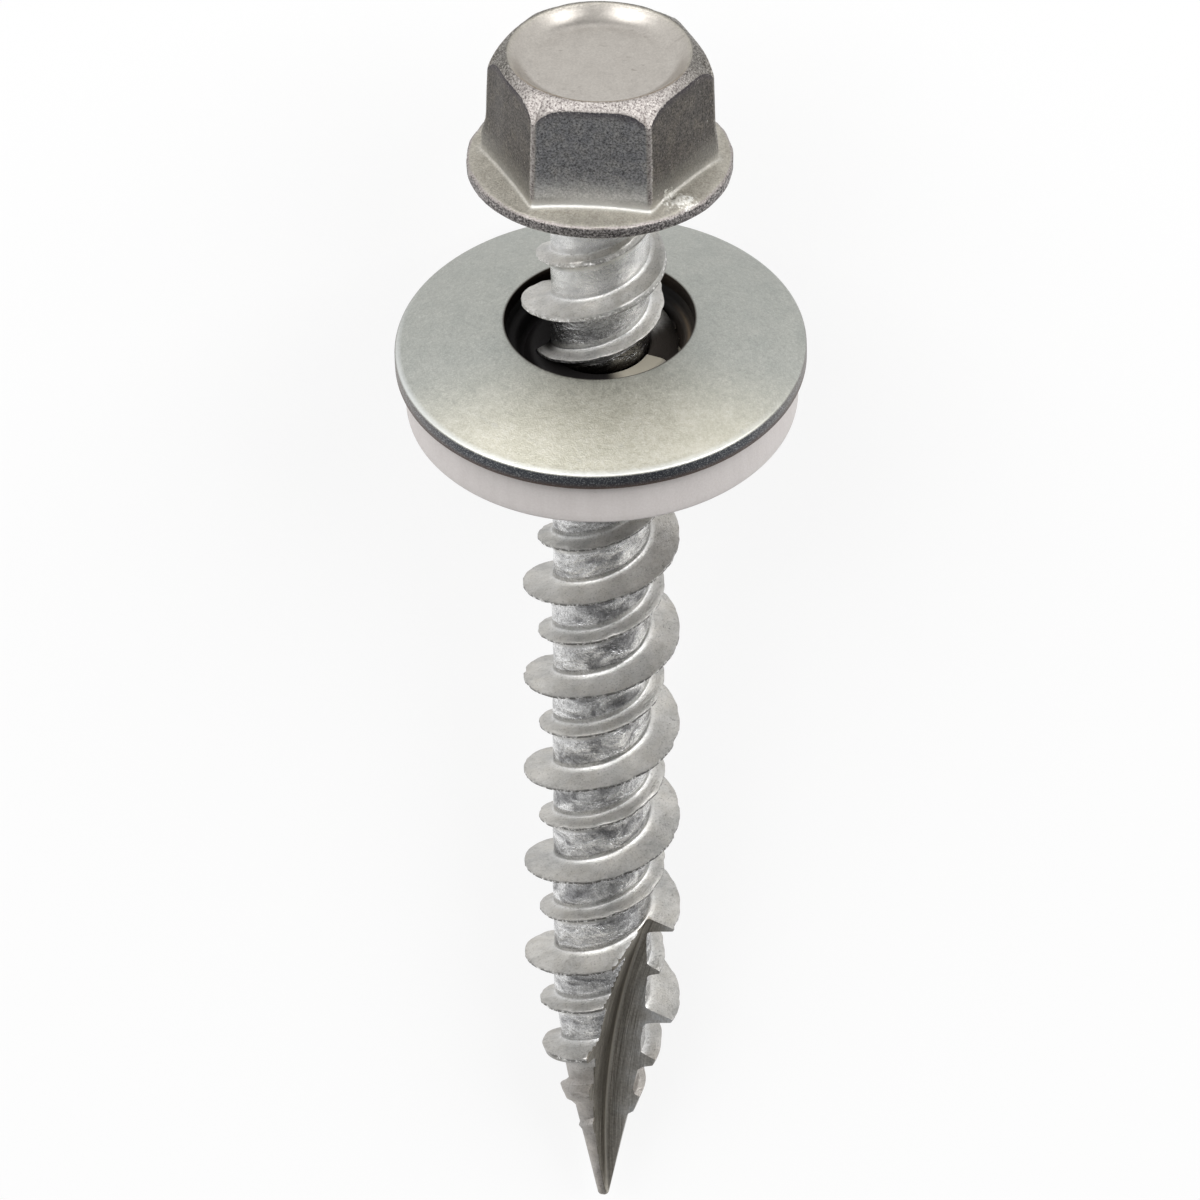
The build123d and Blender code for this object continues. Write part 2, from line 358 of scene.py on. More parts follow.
def head_rings():
    """(radius, height) of each ring of the head, from the neck out, up and in to the top."""
    around = np.ones_like(ANGLES)
    neck = thread_radius(ANGLES, np.zeros_like(ANGLES))
    edge = 0.09
    middle = FLANGE_RADIUS - edge
    profile = [(radius, 0) for radius in (2.2, 3.0, 3.6, 3.9)]
    profile += arc_points(middle, edge, edge, (-70, -45, -20)) + [(FLANGE_RADIUS, 0.2)]
    profile += arc_points(middle, FLANGE_EDGE - edge, edge, (0, 30, 60))
    rings = [(neck, 0 * around)]
    rings += [(radius * around, height * around) for radius, height in profile]

    # flange top, in to where the foot fillet starts
    outer = middle * around
    foot = hexagon_radius(FOOT_ROUND, CORNER_ROUND + FOOT_ROUND)
    foot = np.minimum(foot, outer - 0.05)
    for share in np.linspace(0.05, 1, 8):
        radius = outer + (foot - outer) * share
        rings.append((radius, FLANGE_EDGE + (FLANGE_RADIUS - radius) * FLANGE_SLOPE))
    start = rings[-1][1]
    rise = FOOT_ROUND * 1.15
    wall = wall_radius(start + rise)
    for turn in np.radians((20, 40, 60, 75, 90)):
        rings.append((foot + (wall - foot) * sin(turn), start + rise * (1 - cos(turn))))

    # side of the hexagon, its rounded top edge and the crown
    soft = 0.05
    bottom = rings[-1][1]
    top = wall_top(ANGLES) - soft
    for share in np.linspace(0, 1, 12)[1:]:
        height = bottom + (top - bottom) * share
        rings.append((wall_radius(height), height))
    wall = rings[-1][0]
    rings.append((wall - soft * 0.3, top + soft * 0.7))
    for share in np.linspace(0, 1, 8):
        radius = wall - soft + (CROWN_RADIUS - wall + soft) * share
        fallen = (1 - share) ** 1.25
        rings.append((radius, HEAD_HEIGHT - (HEAD_HEIGHT - top - soft) * fallen))

    # rim, side and floor of the dish
    dish = [(2.82, 0.002), (2.78, 0.014), (2.74, 0.04)]
    for share in (0.15, 0.3, 0.45, 0.6, 0.72, 0.82, 0.9, 1.0):
        radius = DISH_WALL + (DISH_FLOOR_RADIUS - 0.08 - DISH_WALL) * share
        sunk = 0.05 + (DISH_DEPTH - 0.05) * sin(min(share * 1.06, 1) * pi / 2) ** 1.1
        dish.append((radius, sunk))
    dish += [(radius, DISH_DEPTH) for radius in (1.9, 1.6, 1.3, 1.0, 0.7, 0.4, 0.2, 0.0)]
    return rings + [(radius * around, (HEAD_HEIGHT - sunk) * around) for radius, sunk in dish]


def wear_head(points):
    """Rough flange edge, torn metal at the foot of one flat, and soft waviness."""
    radius = np.hypot(points[:, 0], points[:, 1])
    height = points[:, 2]
    rim = smooth_step(3.85, 4.02, radius) * smooth_step(-0.01, 0.08, height)
    out = points[:, :2] / np.maximum(radius, 0.001)[:, None]
    rough = noise(points, 0.55, 4.4) * 0.035 + noise(points, 0.22, 7.7) * 0.02 - 0.02
    points[:, :2] += out * (rim * rough)[:, None]
    top_edge = rim * smooth_step(0.3, 0.38, height)
    points[:, 2] += top_edge * (noise(points, 0.7, 9.1) * 0.035 + noise(points, 0.24, 1.9) * 0.025)
    body = smooth_step(0.02, 0.3, height)
    points[:, 2] += body * noise(points, 1.5, 6.1) * 0.01
    side = smooth_step(0.8, 1.0, height) * smooth_step(2.9, 3.0, radius)
    points[:, :2] += out * (side * noise(points, 0.8, 3.7) * 0.012)[:, None]
    angle = np.arctan2(points[:, 1], points[:, 0])
    for corner, worn in WORN_CORNERS:
        away = np.abs((angle - HEAD_TURN - corner + pi) % (2 * pi) - pi)
        near = (1 - smooth_step(0.1, 0.5, away)) * smooth_step(1.1, 1.7, height) * (radius > 2.9)
        points[:, :2] -= out * (near * worn)[:, None]

    near = np.exp(-(((points[:, :2] - BURR_PLACE) / (0.5, 0.32)) ** 2).sum(axis=1))
    pit = np.exp(-(((points[:, :2] - BURR_PLACE + (0.14, -0.06)) / (0.1, 0.08)) ** 2).sum(axis=1))
    low_part = smooth_step(0.2, 0.42, height) * (1 - smooth_step(1.0, 1.3, height))
    points[:, 2] += low_part * near * (0.09 + 0.17 * noise(points, 0.26, 2.5))
    points[:, 2] -= low_part * pit * 0.12
    return points


def build_screw():
    angles, heights, radii, shift = shank_points()
    rows, columns = radii.shape
    radii = wear_shank(angles, heights, radii)
    shank = around_axis(radii, angles, heights).reshape(-1, 3)
    faces = grid_faces(rows, columns, shift)
    rings = head_rings()
    head = np.concatenate([around_axis(radius, ANGLES, height) for radius, height in rings])
    head = wear_head(head)
    start = len(shank)
    faces += [tuple(start + corner for corner in face) for face in grid_faces(len(rings), columns)]
    return make_object("hex_screw", np.concatenate((shank, head)), faces)


def wheel_cutter():
    """The part of the grinding wheel that meets the screw, with a worn edge and fine scores."""
    turns = np.radians(np.linspace(-7, 27, 103))
    edge = 0.12
    inner = WHEEL_RADIUS - 4.5
    profile = [(inner, 0.0)]
    profile += [(WHEEL_RADIUS - edge + edge * sin(a), edge - edge * cos(a))
                for a in np.radians(np.linspace(0, 90, 6))]
    for side in np.arange(edge + 0.06, 4.2, 0.06):
        profile.append((WHEEL_RADIUS + 0.012 * rng.uniform(-1, 1), side))
    profile.append((inner, profile[-1][1]))
    up = np.array((0, 0, 1))
    centre = FLUTE_ALONG * (WHEEL_RADIUS + FLUTE_SHIFT) - up * WHEEL_DEPTH
    points = []
    for turn in turns:
        spoke = -FLUTE_ALONG * cos(turn) + up * sin(turn)
        points += [centre + spoke * radius + FLUTE_ACROSS * side for radius, side in profile]
    columns = len(profile)
    faces = grid_faces(len(turns), columns)
    faces.append(tuple(range(columns)))
    faces.append(tuple(reversed(range((len(turns) - 1) * columns, len(turns) * columns))))
    return make_object("wheel_cutter", points, faces)


def grind_flute(screw, cutter):
    """Takes the wheel's part away from the screw, and keeps the result as its mesh."""
    cut = screw.modifiers.new("flute", "BOOLEAN")
    cut.operation = "DIFFERENCE"
    cut.solver = "EXACT"
    cut.object = cutter
    view = bpy.context.evaluated_depsgraph_get()
    result = bpy.data.meshes.new_from_object(screw.evaluated_get(view))
    screw.modifiers.clear()
    old = screw.data
    screw.data = result
    result.name = old.name
    bpy.data.meshes.remove(old)
    bpy.data.objects.remove(cutter)


def mesh_points(mesh):
    flat = np.zeros(len(mesh.vertices) * 3)
    mesh.vertices.foreach_get("co", flat)
    return flat.reshape(-1, 3)


def add_masks(mesh, **masks):
    """Stores shares from 0 to 1 at the points of a mesh, by name."""
    for name, values in masks.items():
        layer = mesh.attributes.new(name, "FLOAT", "POINT")
        layer.data.foreach_set("value", np.clip(values, 0, 1).astype(np.float32))


def add_vectors(mesh, name, values):
    layer = mesh.attributes.new(name, "FLOAT_VECTOR", "POINT")
    layer.data.foreach_set("vector", values.astype(np.float32).ravel())


def band(middle, width, value):
    """1 at a value, fading to 0 at about its width."""
    return np.exp(-(((value - middle) / width) ** 2))


def mask_screw(mesh):
    """Stores where the screw is worn, crinkled, dark or ground, for its materials."""
    points = mesh_points(mesh)
    radius = np.hypot(points[:, 0], points[:, 1])
    angle = np.arctan2(points[:, 1], points[:, 0])
    height = points[:, 2]
    depth = -height

    # shank and thread; streaks run along the helix
    high_offset, low_offset = thread_offsets(angle, height)
    cone = smooth_step(31.5, 33.5, depth)
    shank = (1 - smooth_step(-0.3, -0.02, height)) * (1 - 0.8 * cone)
    proud = smooth_step(0.1, 0.3, radius - core_radius(depth))
    crest = np.maximum(band(-0.035, 0.06, high_offset), band(-0.035, 0.055, low_offset))
    # fillet: where a painted highlight runs along the root fillet above each ridge
    fillet = np.maximum(band(0.33, 0.075, high_offset), band(0.235, 0.055, low_offset))
    # under: where painted shade goes, in a band just below each crest
    under = np.maximum(band(-0.13, 0.08, high_offset), band(-0.11, 0.07, low_offset))
    # depths between the washer's hole and the ring's web, out of reach of the light
    in_hole = smooth_step(5.95, 6.3, depth) * (1 - smooth_step(8.1, 8.8, depth))
    on_right = smooth_step(0.2, 0.4, np.cos(angle)) * smooth_step(6.1, 6.25, depth)
    add_masks(
        mesh,
        crest=shank * crest * proud,
        outline=shank * crest * proud * (0.15 + 0.75 * smooth_step(4.5, 8, depth)),
        under=shank * under * (1 - crest),
        fillet=shank * fillet,
        cone=cone,
        neck=shank * (1 - smooth_step(3, 7.5, depth)),
        shaded=in_hole * np.maximum(1 - proud, on_right),
        root=shank * root_share(angle, height) * (1 - proud) * (1 - cone),
    )
    past_crest = ((height - THREAD_PHASE) / LEAD - angle / (2 * pi)) * 2 % 1 * LEAD / 2
    streak = points.copy()
    streak[:, 2] += past_crest * 0.7
    add_vectors(mesh, "streak", streak)

    # head; the apothem is measured as if its flats stood upright
    turned = flat_turn(angle)
    apothem = radius * np.cos(turned) + HEAD_DRAFT * height
    over_arch = height - wall_top(angle)
    at_corner = smooth_step(radians(28.0), radians(29.3), np.abs(turned))
    side = smooth_step(0.6, 0.72, height) * smooth_step(2.94, 3.0, apothem)
    side *= 1 - smooth_step(-0.07, 0.0, over_arch)
    crown = smooth_step(2.72, 2.9, radius) * smooth_step(-0.07, 0.0, over_arch)
    flange_top = FLANGE_EDGE + (FLANGE_RADIUS - radius) * FLANGE_SLOPE
    # the flat that faces the front, which gets painted light
    front_flat = np.cos(angle - HEAD_TURN) > cos(pi / 6)
    # a painted highlight along the foot of each flat, strongest on the front flat
    foot_line = band(0.06, 0.075, height - flange_top) * band(3.2, 0.1, apothem)
    rim = smooth_step(3.97, 4.02, radius) * smooth_step(-0.05, 0.03, height)
    from_burr = points[:, :2] - BURR_PLACE
    torn = band(0, 1, np.hypot(from_burr[:, 0] / 0.52, from_burr[:, 1] / 0.34))
    pit = band(0, 1, np.hypot((from_burr[:, 0] + 0.14) / 0.09, (from_burr[:, 1] - 0.06) / 0.07))
    low_part = (height > 0.3) & (height < 0.95)
    add_masks(
        mesh,
        side=side * (1 - at_corner),
        # foot: where the flats are painted lighter towards the flange
        foot=side * (1 - smooth_step(0.7, 2.1, height)),
        foot_line=foot_line * (0.35 + 0.65 * front_flat),
        front_flat=front_flat,
        arch=side * band(-0.06, 0.045, over_arch) * (1 - at_corner),
        edge=side * at_corner + crown,
        # front: faces towards the front, where the edges get painted light
        front=smooth_step(0.1, 0.9, -points[:, 1] / np.maximum(radius, 0.1)),
        dish=(1 - smooth_step(2.7, 2.8, radius)) * (height > 3),
        lip=band(2.78, 0.05, radius) * (height > 4),
        rim=rim * (height < 0.36),
        rim_top=smooth_step(3.92, 3.99, radius) * band(0.37, 0.035, height),
        head=smooth_step(-0.05, 0.05, height),
        torn=torn * low_part,
        pit=pit * low_part,
    )


def flute_places(points):
    """Distances from the flute's flat wall and inward from the wheel's rim."""
    along = points @ FLUTE_ALONG - WHEEL_RADIUS - FLUTE_SHIFT
    return points @ FLUTE_ACROSS, WHEEL_RADIUS - np.hypot(along, points[:, 2] + WHEEL_DEPTH)


def mark_flute(mesh, index):
    """Gives the faces that the wheel made their own material slot, with their scores."""
    centres = np.zeros(len(mesh.polygons) * 3)
    mesh.polygons.foreach_get("center", centres)
    centres = centres.reshape(-1, 3)
    aside, inward = flute_places(centres)
    on_rim = (np.abs(inward) < 0.02) & (aside > -0.001)
    on_flat = (np.abs(aside) < 0.004) & (inward > -0.002)
    on_edge = (inward < 0.13) & (inward > 0) & (aside > 0) & (aside < 0.13)
    cut = (on_rim | on_flat | on_edge) & (centres[:, 2] < FLUTE_TOP)
    mesh.polygons.foreach_set("material_index", np.where(cut, index, 0).astype(np.int32))

    points = mesh_points(mesh)
    aside, inward = flute_places(points)
    across = np.maximum(aside, 0) - np.maximum(inward, 0)
    add_vectors(mesh, "score", np.stack((across * 9, points[:, 2] * 0.25, 0 * across), axis=1))
    edge = band(0, 0.03, inward) * (aside > 0.25) * (1 - smooth_step(29.5, 31, -points[:, 2]))
    add_masks(
        mesh,
        # the flute's walls, which get painted shade and painted light
        rim_wall=smooth_step(0.0, 0.12, across),
        far_wall=smooth_step(0.15, 1.5, -across),
        valley=band(0.04, 0.07, across) * smooth_step(26.5, 29, -points[:, 2]),
        ground_edge=edge,
    )


def seat_on_floor(mesh):
    """Flattens what would reach a few hundredths of a millimetre into the floor."""
    points = mesh_points(mesh)
    points[:, 2] = np.maximum(points[:, 2], 0)
    mesh.vertices.foreach_set("co", points.ravel())


def shade_smooth(mesh, degrees):
    mesh.polygons.foreach_set("use_smooth", [True] * len(mesh.polygons))
    mesh.set_sharp_from_angle(angle=radians(degrees))
    mesh.update()


def lathe(name, profile, change):
    """A closed profile of (radius, height) turned about the washer's axis."""
    profile = np.array(profile + [profile[0]])
    points = around_axis(profile[:, :1], RING_ANGLES, profile[:, 1:]).reshape(-1, 3)
    return make_object(name, change(points), grid_faces(len(profile), RING_COLUMNS))


dome_centre = (WASHER_RISE**2 + HOLE_RADIUS**2 - RIM_RADIUS**2) / (2 * WASHER_RISE)
dome_radius = sqrt(RIM_RADIUS**2 + dome_centre**2)


def dome_height(radius, sink=0.0):
    """Height of the dome over its rim's top edge, at a depth under its surface."""
    return dome_centre + np.sqrt((dome_radius - sink) ** 2 - np.square(radius))


def washer_profile():
    """Section of the steel disc, from the hole over the dome, round the cut edge and back."""
    hole_top = dome_height(HOLE_RADIUS)
    rim_bottom = dome_height(RIM_RADIUS, WASHER_THICKNESS)
    hole_bottom = dome_height(HOLE_RADIUS, WASHER_THICKNESS)
    roll = 0.11
    points = [(HOLE_RADIUS, hole_top - 0.08), (HOLE_RADIUS + 0.025, hole_top - 0.025),
              (HOLE_RADIUS + 0.09, dome_height(HOLE_RADIUS + 0.09))]
    points += [(radius, dome_height(radius))
               for radius in np.linspace(HOLE_RADIUS + 0.2, RIM_RADIUS - 0.22, 26)]
    middle = RIM_RADIUS - roll
    points += arc_points(middle, dome_height(middle) - roll, roll, (70, 50, 30, 10))
    points += [(RIM_RADIUS, rim_bottom / 2), (RIM_RADIUS - 0.005, rim_bottom + 0.04),
               (RIM_RADIUS - 0.04, rim_bottom)]
    points += [(radius, dome_height(radius, WASHER_THICKNESS))
               for radius in np.linspace(RIM_RADIUS - 0.2, HOLE_RADIUS, 12)]
    return points + [(HOLE_RADIUS, (hole_bottom + WASHER_RISE) / 2)]


def seal_profile():
    """Section of the rubber ring: its face, its outside, under the dome and down the lip."""
    gap = 0.004
    sink = WASHER_THICKNESS + gap
    roll = 0.12
    points = [(SEAL_FACE_HOLE + 0.06, -SEAL_HEIGHT)]
    points += [(radius, -SEAL_HEIGHT)
               for radius in np.linspace(SEAL_FACE_HOLE + 0.3, SEAL_RADIUS - 0.3, 8)]
    points += arc_points(SEAL_RADIUS - roll, -SEAL_HEIGHT + roll, roll, (-75, -50, -25, 0))
    bottom = points[-1][1]
    top = dome_height(SEAL_RADIUS, sink) - 0.03
    points += [(SEAL_RADIUS, height) for height in np.linspace(bottom, top, 8)[1:]]
    points += [(radius, dome_height(radius, sink))
               for radius in np.linspace(SEAL_RADIUS - 0.05, HOLE_RADIUS + 0.02, 14)]
    lip = [(2.86, 0.56), (2.84, 0.44), (2.8, 0.37), (2.72, 0.345), (2.63, 0.34), (2.57, 0.3),
           (2.54, 0.2), (2.5, 0.0), (2.44, -0.12), (2.36, -0.15), (2.28, -0.1), (2.2, 0.05)]
    web = [(2.12, 0.13), (2.0, WEB_TOP), (1.85, WEB_TOP)]
    return points + lip + web


def build_seal():
    """The ring's outer part is turned; its bore follows the screw's thread all the way round."""
    bore = [(0.0, height) for height in np.linspace(WEB_TOP, WEB_BOTTOM, 14)]
    bore += [(0.0, height) for height in np.linspace(WEB_BOTTOM, -SEAL_HEIGHT + 0.05, 8)[1:]]
    rows = []
    to_screw = np.array(screw_place.inverted() @ washer_place)
    # where the thread cuts into the lip, the rows behind the cut follow it down
    step = 0.003
    limit = np.full(RING_COLUMNS, np.inf)
    for radius, height in seal_profile() + bore:
        heights = np.minimum(height, limit)
        if radius == 0 or (radius < HOLE_RADIUS and height > WEB_BOTTOM):
            cut = bore_radius(heights, to_screw)
            limit = np.where(cut > radius, heights - step, limit)
            radius = np.maximum(radius, cut)
        rows.append(around_axis(radius, RING_ANGLES, heights))
    rows.append(rows[0])
    points = np.concatenate(rows)
    faces = grid_faces(len(rows), RING_COLUMNS)
    return make_object("sealing_ring", points, faces)


def mask_seal(mesh):
    """Stores where the rubber meets the steel, its web and groove, and what lies in shadow."""
    points = mesh_points(mesh)
    radius = np.hypot(points[:, 0], points[:, 1])
    turn = np.degrees(np.arctan2(points[:, 1], points[:, 0]))
    inside = (radius < HOLE_RADIUS + 0.05) & (points[:, 2] > WEB_BOTTOM)
    row = np.arange(len(points)) // RING_COLUMNS
    web_start = len(seal_profile()) - WEB_ROWS
    # light comes in over the right-hand side only, between these directions
    lit = smooth_step(-84, -62, turn) * (1 - smooth_step(8, 40, turn))
    top = dome_height(SEAL_RADIUS, WASHER_THICKNESS)
    add_masks(
        mesh,
        joint=smooth_step(top - 0.12, top - 0.04, points[:, 2]) * (radius > 5),
        recess=inside * (row < web_start),
        web=inside * (row >= web_start),
        lip_ring=inside * band(2.72, 0.05, radius),
        shaded=inside * (1 - lit),
    )


def bore_radius(heights, to_screw):
    """Radius, from the washer's axis, of the bore that clears the thread by a little."""
    radius = np.full(RING_COLUMNS, CORE + THREAD_CLEARANCE)
    for tried in np.arange(CORE, HIGH + 0.15, 0.01):
        placed = around_axis(tried, RING_ANGLES, heights) @ to_screw[:3, :3].T + to_screw[:3, 3]
        here = np.hypot(placed[:, 0], placed[:, 1])
        turn = np.arctan2(placed[:, 1], placed[:, 0])
        inside = here < thread_radius(turn, placed[:, 2]) + THREAD_CLEARANCE
        radius = np.where(inside, tried, radius)
    flare = np.clip((WEB_BOTTOM - heights) / (SEAL_HEIGHT + WEB_BOTTOM), 0, 1)
    wide = CORE + flare * (SEAL_FACE_HOLE - CORE)
    return np.where(flare > 0, np.maximum(radius, wide), radius)


# Materials
def new_material(name):
    material = bpy.data.materials.new(name)
    material.use_nodes = True
    tree = material.node_tree
    shader = tree.nodes["Principled BSDF"]
    return material, tree, shader


def link(tree, source, target):
    tree.links.new(source, target)


def feed(tree, socket, value):
    """Fills a socket with the mask of a name, a node's output, a colour or a number."""
    if isinstance(value, str):
        value = mask(tree, value)
    if hasattr(value, "is_output"):
        link(tree, value, socket)
    elif hasattr(value, "__len__"):
        socket.default_value = (*value, 1)
    else:
        socket.default_value = value


def object_point(tree):
    """Coordinates fixed to the object, in millimetres."""
    where = tree.nodes.new("ShaderNodeTexCoord")
    scale = tree.nodes.new("ShaderNodeVectorMath")
    scale.operation = "SCALE"
    scale.inputs["Scale"].default_value = 1 / MM
    link(tree, where.outputs["Object"], scale.inputs[0])
    return scale.outputs[0]


def noise_node(tree, point, per_mm, detail=3.0, roughness=0.6, distortion=0.0):
    node = tree.nodes.new("ShaderNodeTexNoise")
    node.inputs["Scale"].default_value = per_mm
    node.inputs["Detail"].default_value = detail
    node.inputs["Roughness"].default_value = roughness
    node.inputs["Distortion"].default_value = distortion
    link(tree, point, node.inputs["Vector"])
    return node.outputs["Fac"]


def ramp(tree, value, *stops):
    """Colour or grey stops: (position, colour)."""
    node = tree.nodes.new("ShaderNodeValToRGB")
    elements = node.color_ramp.elements
    while len(elements) < len(stops):
        elements.new(0.5)
    for element, (position, colour) in zip(elements, stops):
        element.position = position
        if not hasattr(colour, "__len__"):
            colour = (colour, colour, colour)
        element.color = (*colour, 1)
    link(tree, value, node.inputs["Fac"])
    return node.outputs["Color"]


def mix(tree, share, first, second, blend="MIX"):
    """Colour mix; share is a mask's name, an output or a number."""
    node = tree.nodes.new("ShaderNodeMix")
    node.data_type = "RGBA"
    node.blend_type = blend
    for place, value in zip((0, 6, 7), (share, first, second)):
        feed(tree, node.inputs[place], value)
    return node.outputs[2]


def math(tree, operation, *values, clamp=False):
    node = tree.nodes.new("ShaderNodeMath")
    node.operation = operation
    node.use_clamp = clamp
    for socket, value in zip(node.inputs, values):
        feed(tree, socket, value)
    return node.outputs[0]


def times(tree, first, second):
    return math(tree, "MULTIPLY", first, second)


def mask(tree, name, output="Fac"):
    node = tree.nodes.new("ShaderNodeAttribute")
    node.attribute_name = name
    return node.outputs[output]


def bump(tree, height, strength, distance_mm, normal=None):
    node = tree.nodes.new("ShaderNodeBump")
    node.inputs["Strength"].default_value = strength
    node.inputs["Distance"].default_value = distance_mm * MM
    link(tree, height, node.inputs["Height"])
    if normal is not None:
        link(tree, normal, node.inputs["Normal"])
    return node.outputs["Normal"]


def squeezed(tree, point, axis, keep):
    """The same coordinates with their part along an axis scaled down."""
    along = tree.nodes.new("ShaderNodeVectorMath")
    along.operation = "DOT_PRODUCT"
    link(tree, point, along.inputs[0])
    along.inputs[1].default_value = tuple(axis)
    taken = tree.nodes.new("ShaderNodeVectorMath")
    taken.operation = "MULTIPLY_ADD"
    link(tree, along.outputs["Value"], taken.inputs[0])
    taken.inputs[1].default_value = tuple((keep - 1) * part for part in axis)
    link(tree, point, taken.inputs[2])
    return taken.outputs[0]


def scratches(tree, point, axis, per_mm):
    """Short fine lines along an axis, 1 on the line."""
    lines = noise_node(tree, squeezed(tree, point, axis, 0.05), per_mm, 0.0)
    patches = noise_node(tree, point, 0.8, 2)
    line = ramp(tree, lines, (0.72, 0.0), (0.78, 1.0))
    return times(tree, line, ramp(tree, patches, (0.5, 0.0), (0.6, 1.0)))


def ragged(tree, share, grain, width=0.5):
    """A mask whose soft border is broken up by a grain."""
    shaken = math(tree, "MULTIPLY_ADD", math(tree, "SUBTRACT", grain, 0.5), 2.2, share)
    low = 0.5 - width * 0.2
    return ramp(tree, shaken, (low, 0.0), (low + width * 0.4, 1.0))


def plated_steel():
    """Rolled and forged steel under thin zinc: satin flanks, crinkled roots, pale worn edges, and
    painted light, shade and highlights on the head and thread.
    """
    material, tree, shader = new_material("plated_steel")
    point = object_point(tree)
    streak = mask(tree, "streak", "Vector")
    broad = noise_node(tree, point, 0.7, 3)
    mottle = noise_node(tree, point, 2.4, 5, 0.7)
    grain = noise_node(tree, point, 9.0, 4, 0.7)
    speckle = noise_node(tree, point, 15.0, 3, 0.75)
    crinkle = noise_node(tree, streak, 1.25, 4, 0.6, 0.6)
    patch = noise_node(tree, streak, 0.55, 2)

    satin = ramp(tree, broad, (0.34, (0.48, 0.475, 0.46)), (0.66, (0.66, 0.64, 0.6)))
    satin = mix(tree, 0.5, satin, ramp(tree, mottle, (0.35, 0.36), (0.65, 0.66)), "OVERLAY")
    satin = mix(tree, 1.0, satin, ramp(tree, grain, (0.3, 0.6), (0.4, 1.0)), "MULTIPLY")
    pores = ramp(tree, speckle, (0.32, 0.55), (0.44, 0.95), (0.7, 1.0))
    satin = mix(tree, 1.0, satin, pores, "MULTIPLY")
    shiny = ramp(tree, crinkle,
        (0.36, (0.3, 0.3, 0.308)), (0.5, (0.66, 0.66, 0.662)), (0.6, (0.97, 0.97, 0.97)))
    shiny = mix(tree, 0.5, shiny, ramp(tree, patch, (0.38, 0.25), (0.62, 0.85)), "OVERLAY")
    pores = ramp(tree, speckle, (0.36, 0.5), (0.5, 0.9), (0.62, 1.0))
    shiny = mix(tree, 1.0, shiny, pores, "MULTIPLY")
    silver = ramp(tree, crinkle, (0.34, (0.68, 0.68, 0.68)), (0.66, (0.98, 0.975, 0.965)))
    shiny = mix(tree, "neck", shiny, silver)
    dark = ramp(tree, mottle,
        (0.3, (0.15, 0.138, 0.128)), (0.5, (0.19, 0.172, 0.155)), (0.72, (0.28, 0.25, 0.21)))
    # painted light: the front flat gets a lighter, bluer copy of the flats' dark colour
    blue = ramp(tree, mottle,
        (0.3, (0.36, 0.365, 0.385)), (0.5, (0.45, 0.45, 0.46)), (0.72, (0.58, 0.565, 0.545)))
    dark = mix(tree, "front_flat", dark, blue)
    pores = ramp(tree, speckle, (0.34, 0.2), (0.5, 0.6), (0.66, 1.0))
    dark = mix(tree, 1.0, dark, pores, "MULTIPLY")
    # painted light: the flats turn lighter towards their foot, most of all on the front flat
    front_foot = ramp(tree, speckle, (0.3, (0.5, 0.495, 0.48)), (0.7, (0.92, 0.91, 0.88)))
    foot = ramp(tree, speckle, (0.3, (0.2, 0.192, 0.172)), (0.7, (0.36, 0.345, 0.31)))
    foot = mix(tree, "front_flat", foot, front_foot)
    front_edge = ramp(tree, speckle,
        (0.34, (0.1, 0.085, 0.085)), (0.46, (0.36, 0.33, 0.315)), (0.66, (0.6, 0.57, 0.54)))
    side_edge = ramp(tree, speckle,
        (0.36, (0.05, 0.045, 0.04)), (0.5, (0.2, 0.188, 0.17)), (0.68, (0.46, 0.44, 0.41)))
    warm = ramp(tree, mottle, (0.35, (0.375, 0.352, 0.305)), (0.65, (0.485, 0.46, 0.405)))
    warm = mix(tree, 0.55, warm, ramp(tree, speckle, (0.3, 0.25), (0.7, 0.75)), "OVERLAY")
    floor = ramp(tree, mottle, (0.3, (0.45, 0.42, 0.385)), (0.7, (0.52, 0.49, 0.45)))
    floor = mix(tree, 0.4, floor, ramp(tree, speckle, (0.3, 0.35), (0.7, 0.65)), "OVERLAY")
    marks = times(tree, scratches(tree, point, (0.8, 0.6, 0.0), 7.0), 0.45)
    floor = mix(tree, marks, floor, (0.22, 0.19, 0.165))
    rim = ramp(tree, speckle,
        (0.38, (0.06, 0.055, 0.055)), (0.5, (0.22, 0.205, 0.2)), (0.64, (0.6, 0.565, 0.55)))
    torn = ramp(tree, grain,
        (0.34, (0.22, 0.185, 0.13)), (0.46, (0.55, 0.53, 0.475)), (0.6, (0.8, 0.79, 0.75)))

    satin = mix(tree, "cone", satin, mix(tree, 1.0, satin, (0.7, 0.67, 0.655), "MULTIPLY"))
    colour = mix(tree, "root", satin, shiny)
    # painted highlight along the root fillets
    glint = times(tree, "fillet", ramp(tree, speckle, (0.35, 0.2), (0.6, 0.7)))
    colour = mix(tree, glint, colour, (0.82, 0.83, 0.84))
    # painted shade just below each crest
    colour = mix(tree, times(tree, "under", 0.8), colour, (0.1, 0.095, 0.09))
